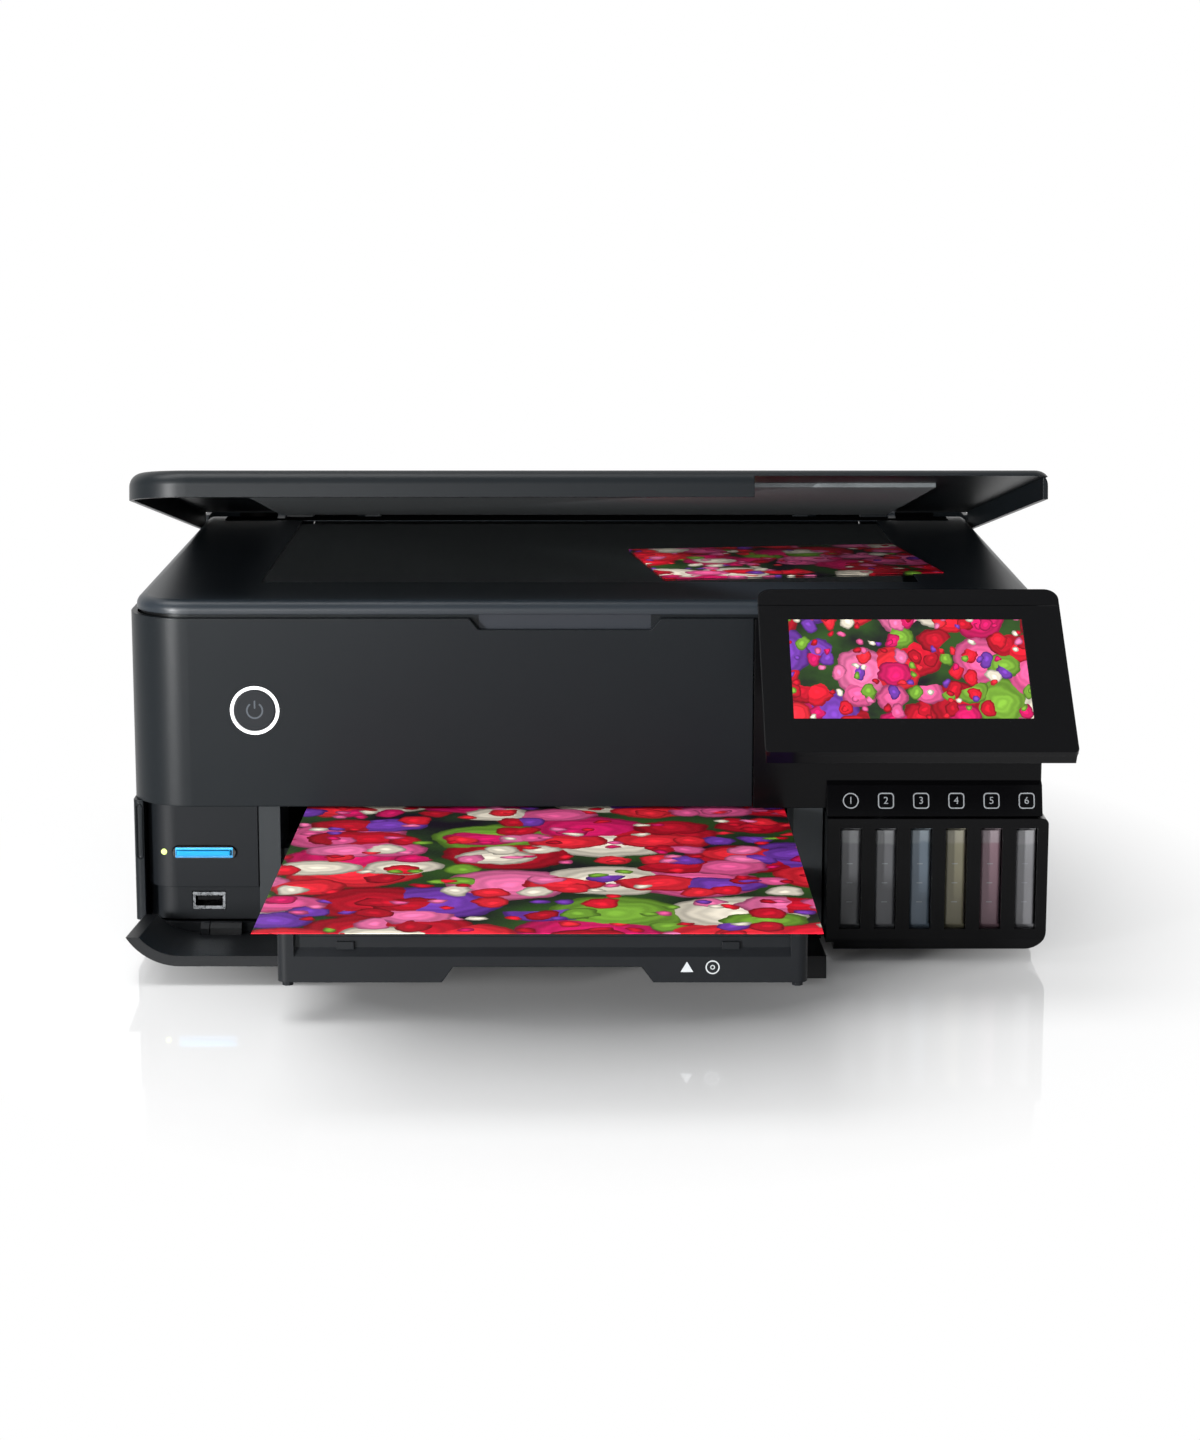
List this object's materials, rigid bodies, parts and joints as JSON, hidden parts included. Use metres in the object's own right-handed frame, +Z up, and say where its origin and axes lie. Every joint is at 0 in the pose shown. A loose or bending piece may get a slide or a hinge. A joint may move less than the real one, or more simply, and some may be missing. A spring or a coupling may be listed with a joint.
{
  "type": "inkjet printer",
  "caption": "Flatbed inkjet photo printer with side ink tanks, tilting touch panel, hinged scanner lid, drop-down front cover and sliding output tray.",
  "frame": {"origin": "on the floor under the middle of the closed printer body", "axes": "+Z up, -Y out of the front, +X to the right as seen from the front"},
  "size_m": [0.403, 0.568, 0.214],
  "materials": {
    "charcoal_abs": "satin",
    "gloss_black_abs": "gloss",
    "dark_grey_abs": "satin",
    "mid_grey_abs": "satin",
    "light_grey_foam": "matte",
    "tank_pp": "frosted",
    "blue_pc": "gloss",
    "led_pc": "gloss",
    "scan_glass": "clear",
    "screen_glass": "gloss",
    "photo_paper": "semi-gloss",
    "rubber": "matte",
    "sheet_steel": "satin",
    "board_fr4": "satin",
    "brass_pulley": "satin"
  },
  "bodies": {
    "base": {"bottom_case": "dark_grey_abs", "feet": "rubber", "main_housing": "charcoal_abs", "front_panel": "charcoal_abs", "power_ring": "mid_grey_abs", "card_panel": "dark_grey_abs", "card_slot_bezel": "blue_pc", "usb_host_socket": "dark_grey_abs", "status_led": "led_pc", "paper_exit_frame": "dark_grey_abs", "tank_bezel": "gloss_black_abs", "tank_upper_trim": "gloss_black_abs", "ink_tank_1": "tank_pp", "ink_tank_2": "tank_pp", "ink_tank_3": "tank_pp", "ink_tank_4": "tank_pp", "ink_tank_5": "tank_pp", "ink_tank_6": "tank_pp", "tank_caps": "mid_grey_abs", "carriage_rail": "sheet_steel", "platen": "dark_grey_abs", "star_wheel_holder": "dark_grey_abs", "cap_station": "dark_grey_abs", "waste_ink_box": "dark_grey_abs", "main_board": "board_fr4", "power_supply": "dark_grey_abs", "ac_inlet": "dark_grey_abs", "rear_jacks": "dark_grey_abs", "carriage_motor": "sheet_steel", "timing_belt": "rubber", "ink_tubes": "dark_grey_abs", "paper_cassette_lower": "dark_grey_abs", "paper_cassette_upper": "dark_grey_abs", "inner_deck": "dark_grey_abs"},
    "button": {"power_button": "charcoal_abs"},
    "card": {"memory_card": "dark_grey_abs"},
    "tank_lid": {"tank_cover": "dark_grey_abs"},
    "control_panel": {"panel_fascia": "gloss_black_abs", "touch_screen": "screen_glass", "panel_rear_shell": "gloss_black_abs"},
    "scanner": {"scanner_frame": "charcoal_abs", "scanner_glass": "scan_glass", "scanner_tray": "dark_grey_abs", "scan_rail": "sheet_steel", "photo_original": "photo_paper"},
    "scan_head": {"scan_carriage": "dark_grey_abs"},
    "lid": {"lid_shell": "charcoal_abs", "document_mat": "light_grey_foam"},
    "cover": {"front_cover": "dark_grey_abs"},
    "tray": {"output_tray": "dark_grey_abs"},
    "sheet": {"printed_sheet": "photo_paper"},
    "carriage": {"print_carriage": "dark_grey_abs", "print_head": "mid_grey_abs"},
    "drive": {"drive_pulley": "brass_pulley"},
    "idler": {"idler_pulley": "brass_pulley"},
    "feed": {"feed_roller": "sheet_steel"},
    "exit": {"exit_roller": "sheet_steel"},
    "rear_cover": {"rear_feed_cover": "charcoal_abs"},
    "rear_support": {"rear_paper_support": "dark_grey_abs"},
    "jam_cover": {"rear_jam_cover": "charcoal_abs"}
  },
  "joints": [
    {"name": "button_press", "type": "slide", "parent": "base", "child": "button", "axis": [0, 1, 0], "range_m": [0, 0.0012], "stiffness_N_per_m": 400},
    {"name": "card_slide", "type": "slide", "parent": "base", "child": "card", "axis": [0, -1, 0], "range_m": [0, 0.022]},
    {"name": "tank_cover_hinge", "type": "hinge", "parent": "base", "child": "tank_lid", "pos_m": [0.151, -0.022, 0.112], "axis": [-1, 0, 0], "range_deg": [0, 6]},
    {"name": "panel_tilt", "type": "hinge", "parent": "base", "child": "control_panel", "pos_m": [0.137, -0.1705, 0.16], "axis": [-1, 0, 0], "range_deg": [-40, 25]},
    {"name": "scanner_hinge", "type": "hinge", "parent": "base", "child": "scanner", "pos_m": [0, 0.138, 0.146], "axis": [-1, 0, 0], "range_deg": [0, 30]},
    {"name": "scan_travel", "type": "slide", "parent": "scanner", "child": "scan_head", "axis": [1, 0, 0], "range_m": [0, 0.268]},
    {"name": "lid_hinge", "type": "hinge", "parent": "scanner", "child": "lid", "pos_m": [0, 0.13, 0.1585], "axis": [-1, 0, 0], "range_deg": [-10.3, 58]},
    {"name": "cover_hinge", "type": "hinge", "parent": "base", "child": "cover", "pos_m": [-0.02, -0.155, 0.0095], "axis": [-1, 0, 0], "range_deg": [0, 22]},
    {"name": "tray_slide", "type": "slide", "parent": "base", "child": "tray", "axis": [0, -1, 0], "range_m": [-0.114, 0]},
    {"name": "sheet_feed", "type": "slide", "parent": "base", "child": "sheet", "axis": [0, -0.9997, 0.0225], "range_m": [-0.04, 0.03]},
    {"name": "feed_turn", "type": "hinge", "parent": "base", "child": "feed", "pos_m": [0, -0.0555, 0.05807], "axis": [1, 0, 0], "continuous": true},
    {"name": "exit_turn", "type": "hinge", "parent": "base", "child": "exit", "pos_m": [0, -0.105, 0.06018], "axis": [1, 0, 0], "continuous": true},
    {"name": "carriage_slide", "type": "slide", "parent": "base", "child": "carriage", "axis": [1, 0, 0], "range_m": [-0.212, 0]},
    {"name": "drive_turn", "type": "hinge", "parent": "base", "child": "drive", "pos_m": [0.09, -0.042, 0.098], "axis": [0, 1, 0], "continuous": true},
    {"name": "idler_turn", "type": "hinge", "parent": "base", "child": "idler", "pos_m": [-0.178, -0.042, 0.098], "axis": [0, 1, 0], "continuous": true},
    {"name": "rear_cover_hinge", "type": "hinge", "parent": "base", "child": "rear_cover", "pos_m": [0, 0.1645, 0.1544], "axis": [-1, 0, 0], "range_deg": [0, 88]},
    {"name": "rear_support_slide", "type": "slide", "parent": "base", "child": "rear_support", "axis": [0, 0, 1], "range_m": [0, 0.06]},
    {"name": "jam_cover_slide", "type": "slide", "parent": "base", "child": "jam_cover", "axis": [0, 1, 0], "range_m": [0, 0.06]}
  ],
  "couplings": [
    {"joint": "drive_turn", "follows": "carriage_slide", "rad_per_m": -153.85},
    {"joint": "idler_turn", "follows": "carriage_slide", "rad_per_m": -153.85},
    {"joint": "feed_turn", "follows": "sheet_feed", "rad_per_m": 200},
    {"joint": "exit_turn", "follows": "sheet_feed", "rad_per_m": 250}
  ]
}
